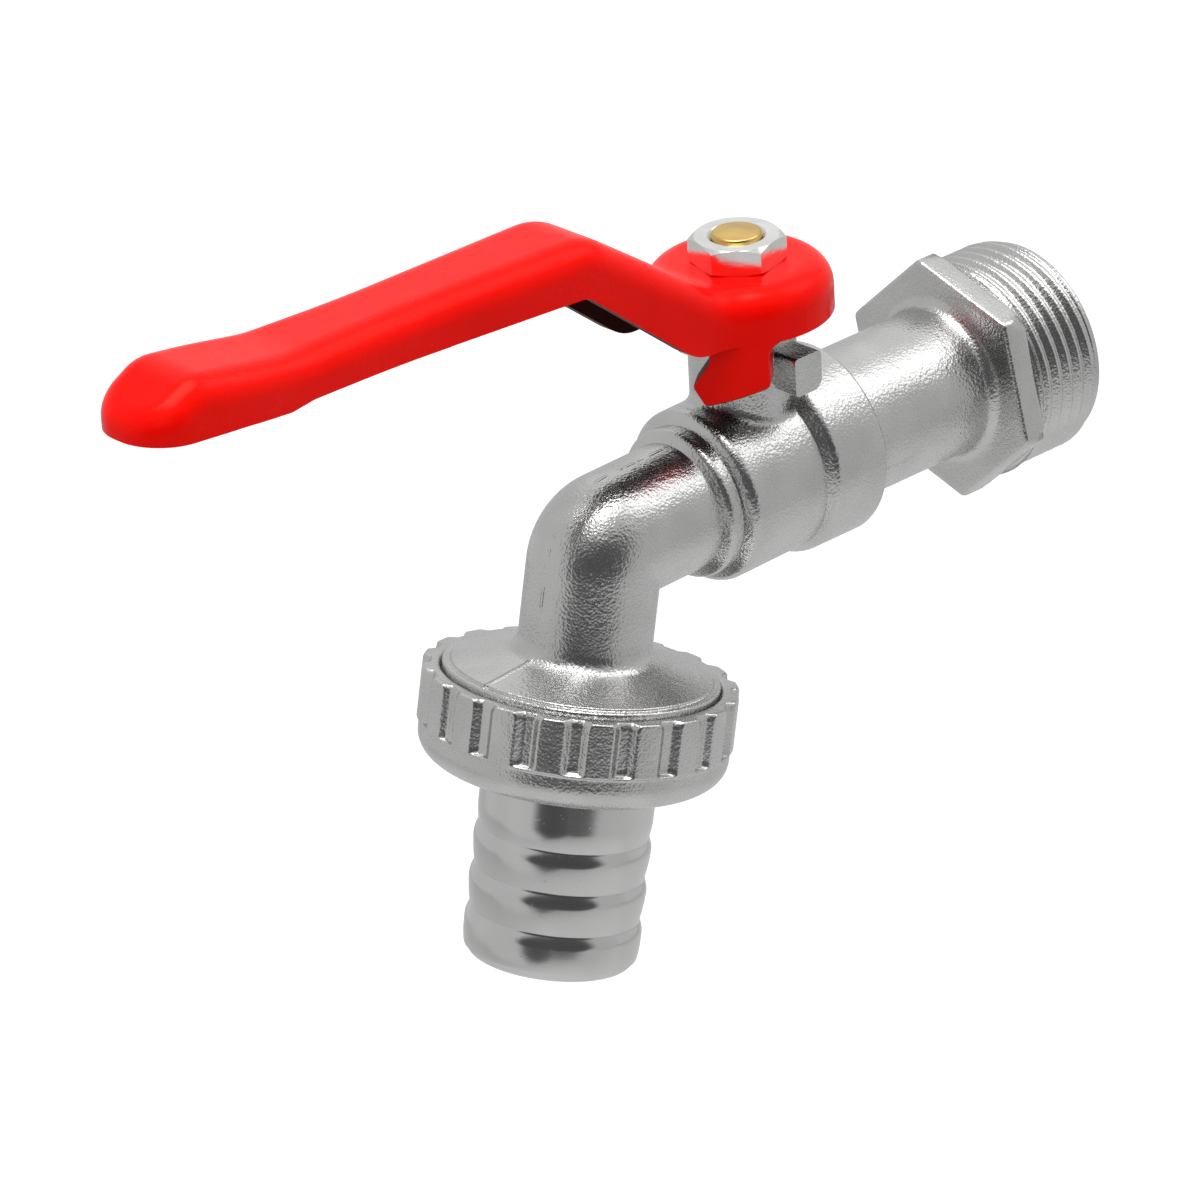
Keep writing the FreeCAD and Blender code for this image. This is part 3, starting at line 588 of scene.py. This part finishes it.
def smooth_step(value, low, high):
    """S-curve from 0 at low to 1 at high."""
    share = np.clip((value - low) / (high - low), 0, 1)
    return share * share * (3 - 2 * share)


def nut_outside(station, angle):
    """Radius of the nut's outside. A land is round at its top edge. A notch has a flat floor between
    evenly sloping walls and ends in a shelf. Its floor sinks to the rim as the square of the way left."""
    below = station - nut_rim
    corner = np.clip(nut_edge_round - below, 0, nut_edge_round)
    land = nut_radius - nut_edge_round + np.sqrt(nut_edge_round ** 2 - corner ** 2)
    fade_start, fade_end = nut_grip_fade
    narrowing = smooth_step(station, nut_grip_end + fade_start, nut_grip_end + fade_end)
    land = land - (nut_radius - nut_lower_radius) * narrowing
    open_share = np.clip(1 - below / notch_mouth_length, 0, 1)
    floor = notch_floor - notch_mouth_sink * open_share ** 2
    offset = np.abs((angle % notch_period) - notch_period / 2) * nut_radius
    half = notch_half_width + (notch_mouth_half_width - notch_half_width) * open_share ** 1.5
    wall = np.clip((half + notch_wall_slope - offset) / (2 * notch_wall_slope), 0, 1)
    shelf = np.clip((nut_grip_end - station) / notch_shelf_slope, 0, 1)
    return land - (land - floor) * wall * shelf


def make_union_nut(material):
    """Rings of 640 points down the outside, round the bottom, in at the lip and up the thread."""
    skin = TurnedSkin(640)
    ring = skin.ring
    mouth = nut_mouth_radius + nut_edge_round
    for share in np.linspace(0, 1, 6):
        ring(nut_rim, mouth + (nut_outside(nut_rim, skin.angle) - mouth) * share)
    # Close rings over the rounded edge and the notches' mouths, wider ones down the grip, then the
    # notches' shelves and the plain wall below them.
    for station in np.concatenate([
        nut_rim + np.linspace(0.00004, 0.0012, 14),
        nut_rim + np.linspace(0.0014, 0.0056, 8),
        np.linspace(nut_grip_end - notch_shelf_slope, nut_grip_end, 4),
        np.linspace(nut_grip_end + 0.0001, nut_bottom - nut_bottom_height - 0.0002, 10),
    ]):
        ring(station, nut_outside(station, skin.angle))
    for turn in np.linspace(0, math.pi / 2, 16):
        ring(nut_bottom - nut_bottom_height * (1 - math.sin(turn)),
             nut_lower_radius - nut_bottom_round * (1 - math.cos(turn)))
    for turn in np.linspace(0, math.pi / 2, 4):
        ring(nut_bottom - nut_edge_round * (1 - math.cos(turn)),
             nut_lip_radius + nut_edge_round * (1 - math.sin(turn)))
    ring(nut_lip_station, nut_lip_radius)
    ring(nut_lip_station, nut_bore_radius)
    thread_start = nut_lip_station - nut_thread_undercut
    for station in np.arange(thread_start, nut_mouth_end, -outlet_pitch / nut_rings_per_turn):
        groove = 1 - thread_ridge(station / outlet_pitch - skin.angle / (2 * np.pi))
        ring(station, nut_bore_radius + nut_thread_depth * groove)
    ring(nut_mouth_end, nut_bore_radius)
    ring(nut_mouth_end, nut_mouth_radius)
    ring(nut_rim + nut_edge_round, nut_mouth_radius)
    return skin.wrap("union_nut_skin", round_spout, material)


def no_parting(finish):
    """The nut shows no seam, only a soft unevenness."""
    return finish.grain(60, 1.0) * 0.5


union_nut = make_union_nut(cast_plate("plated_union", no_parting, depth=0.000040))
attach(union_nut, "union_nut")
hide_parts("union_nut")


# HOSE TAIL
# Turned from brass bar and plated smooth: a collar, a plain neck and three barbs, each rising
# steeply out of a narrow groove and falling slowly to the next.
tail_collar = (0.02491, 0.02666)
tail_collar_radius = 0.0152
tail_neck_radius = 0.0103
tail_groove_radius = 0.0100
tail_barb_radius = 0.01045
tail_barb_tops = (0.03735, 0.04245, 0.04755)
tail_barb_rise = 0.0015
tail_barb_fade = 1.6
tail_last_barb_fade = 3.0
tail_neck_fall = 0.0026
tail_end = 0.0518
tail_end_radius = 0.0099
tail_end_round = 0.0011
tail_end_lift = 0.00002
tail_end_first_turn = 0.15
tail_edge_round = 0.0003
tail_bore_radius = 0.0081


def tail_outside(station):
    """Radius of the tail's outside: the neck and each barb fall along a curve that steepens to the
    next groove, and each barb rises as a quarter of a sine."""
    start = tail_barb_tops[0] - tail_barb_rise
    fall = np.clip((station - start + tail_neck_fall) / tail_neck_fall, 0, 1)
    radius = tail_neck_radius - (tail_neck_radius - tail_groove_radius) * fall ** 2
    grooves = [
        (tail_barb_tops[1], tail_groove_radius, tail_barb_fade),
        (tail_barb_tops[2], tail_groove_radius, tail_barb_fade),
        (tail_end + tail_barb_rise, tail_end_radius, tail_last_barb_fade),
    ]
    for top, (following, low, fade) in zip(tail_barb_tops, grooves):
        climb = np.clip((station - top + tail_barb_rise) / tail_barb_rise, 0, 1)
        drop = np.clip((station - top) / (following - tail_barb_rise - top), 0, 1)
        rising = tail_groove_radius + (tail_barb_radius - tail_groove_radius) * np.sin(climb * np.pi / 2)
        falling = tail_barb_radius - (tail_barb_radius - low) * drop ** fade
        barb = np.where(station < top, rising, falling)
        radius = np.where(station > top - tail_barb_rise, barb, radius)
    return radius


def make_tail(material):
    """Rings of 256 points: the collar, the neck, the barbs, the rounded end and back up the bore."""
    skin = TurnedSkin(256)
    ring = skin.ring
    top, bottom = tail_collar
    ring(top, tail_bore_radius)
    ring(top, tail_collar_radius - tail_edge_round)
    ring(top + tail_edge_round, tail_collar_radius)
    ring(bottom - tail_edge_round, tail_collar_radius)
    ring(bottom, tail_collar_radius - tail_edge_round)
    ring(bottom, tail_neck_radius + tail_edge_round)
    ring(bottom + tail_edge_round, tail_neck_radius)
    for station in np.linspace(bottom + 0.001, tail_end - tail_end_round, 170):
        ring(station, tail_outside(station))
    for turn in np.linspace(tail_end_first_turn, math.pi / 2, 9):
        ring(tail_end - tail_end_round * (1 - math.sin(turn)),
             tail_end_radius + tail_end_lift - tail_end_round * (1 - math.cos(turn)))
    for turn in np.linspace(0, math.pi / 2, 4):
        ring(tail_end - tail_edge_round * (1 - math.cos(turn)),
             tail_bore_radius + tail_edge_round * (1 - math.sin(turn)))
    for station in np.linspace(tail_end - 0.004, top + 0.002, 7):
        ring(station, tail_bore_radius)
    return skin.wrap("hose_tail_skin", round_spout, material)


def smooth_plate(name):
    """Nickel plate over a turned and polished surface: faint rings and a soft swell round the tail."""
    bright_plating = (0.64, 0.64, 0.635, 1)
    dull_plating = (0.60, 0.60, 0.595, 1)
    finish = Finish(name, Metallic=1.0)
    rings = finish.turning_marks(spout_down, 1900, detail=2.0, roughness=0.6)
    swell = finish.grain(240, 1.5, stretch=(1.0, 1.0, 0.25))
    specks = finish.step(finish.grain(1900, 2.0, 0.6), 0.66, 0.74)
    return finish.feed(
        Base_Color=finish.blend(finish.step(swell, 0.3, 0.7), dull_plating, bright_plating),
        Roughness=0.13 + swell * 0.06 + specks * 0.10,
        Normal=finish.relief(rings * 0.05 + swell * 4.0 + specks * 0.3, depth=0.00002),
    )


hose_tail = make_tail(smooth_plate("plated_turning"))
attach(hose_tail, "hose_tail")
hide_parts("hose_tail")


# STUDIO
# A plain pale floor half a metre below the tap, in a soft white surround. The surround is dark behind
# the camera, a little dimmer on the right and brighter high at the back, which the plate mirrors.
# Large soft lamps hang above and behind on the right, and one in front fills matt parts.
studio_level = 0.66
studio_edge = 2.5
lamps_aim = np.array([0.0, -0.055, 0.0])
floor_reach = 1.5
floor_height = -0.5
floor_grey = (0.68, 0.68, 0.68, 1)
floor_shine = 0.55


class Surround(Finish):
    """The same node helpers for the world's own tree."""

    def __init__(self, world):
        self.material = world
        self.tree = world.node_tree
        self.surface = self.tree.nodes["Background"]
        self.surface.inputs["Color"].default_value = (1, 1, 1, 1)

    def window(self, direction, azimuth, reach, elevation, rise, soft=0.3):
        """1 inside a rounded window of directions, reach to each side of the azimuth and rise above
        and below the elevation, all in degrees, and 0 outside it, with a soft edge."""
        x, y, z = self.parts(direction)
        turn = self.maths("ARCTAN2", x, -y) - math.radians(azimuth)
        climb = self.maths("ARCSINE", z) - math.radians(elevation)
        across = abs(turn / math.radians(reach)) ** studio_edge
        upward = abs(climb / math.radians(rise)) ** studio_edge
        return 1 - self.step(across + upward, 1 - soft, 1 + soft)


def toward(azimuth, elevation):
    """Unit vector from the tap at an azimuth, where 0 is along -Y and 90 along +X."""
    azimuth = math.radians(azimuth)
    elevation = math.radians(elevation)
    flat = math.cos(elevation)
    return np.array([math.sin(azimuth) * flat, -math.cos(azimuth) * flat, math.sin(elevation)])


def soft_lamp(name, azimuth, elevation, distance, size, radiance, in_gloss=True):
    """Square soft lamp that looks at the tap's middle and shows in its gloss at that radiance, or
    lights only the matt surfaces. Its power is the radiance times pi times its area."""
    ray = toward(azimuth, elevation)
    lamp = bpy.data.lights.new(name, "AREA")
    lamp.size = size
    lamp.energy = radiance * math.pi * size * size
    side = np.cross([0.0, 1.0, 0.0] if elevation > 80 else [0.0, 0.0, 1.0], ray)
    side /= np.linalg.norm(side)
    place = np.eye(4)
    place[:3, 0] = side
    place[:3, 1] = np.cross(ray, side)
    place[:3, 2] = ray
    place[:3, 3] = lamps_aim + ray * distance
    lamp_object = bpy.data.objects.new(name, lamp)
    lamp_object.matrix_world = Matrix(place.tolist())
    lamp_object.visible_glossy = in_gloss
    bpy.context.scene.collection.objects.link(lamp_object)


world = bpy.data.worlds.new("surround")
world.use_nodes = True
bpy.context.scene.world = world
surround = Surround(world)
around = surround.node("ShaderNodeTexCoord", output="Generated")
dark = surround.window(around, azimuth=51, reach=50, elevation=13, rise=33)
dim = surround.window(around, azimuth=120, reach=22, elevation=-5, rise=36, soft=0.8)
bright = surround.window(around, azimuth=-138, reach=34, elevation=48, rise=30, soft=0.8)
level = studio_level - dark * 0.57 - dim * 0.09 + bright * 0.25
seen = surround.node("ShaderNodeLightPath", output="Is Camera Ray")
surround.feed(Strength=seen + (1 - seen) * level)

soft_lamp("lamp_above", azimuth=0, elevation=84, distance=1.0, size=0.64, radiance=5.8)
soft_lamp("lamp_behind", azimuth=155, elevation=48, distance=1.1, size=0.62, radiance=1.6)
soft_lamp("lamp_front", azimuth=38, elevation=32, distance=1.3, size=0.80, radiance=2.0, in_gloss=False)

floor_finish = Finish("floor_white", Roughness=0.9, Base_Color=floor_grey, Emission_Color=(1, 1, 1, 1))
floor_seen = floor_finish.node("ShaderNodeLightPath", output="Is Camera Ray")
floor_finish.feed(Emission_Strength=floor_seen * floor_shine)
floor_corners = [
    (-floor_reach, -floor_reach, floor_height),
    (floor_reach, -floor_reach, floor_height),
    (floor_reach, floor_reach, floor_height),
    (-floor_reach, floor_reach, floor_height),
]
floor_mesh = bpy.data.meshes.new("floor")
floor_mesh.from_pydata(floor_corners, [], [(0, 1, 2, 3)])
floor_mesh.materials.append(floor_finish.material)
floor = bpy.data.objects.new("floor", floor_mesh)
bpy.context.scene.collection.objects.link(floor)
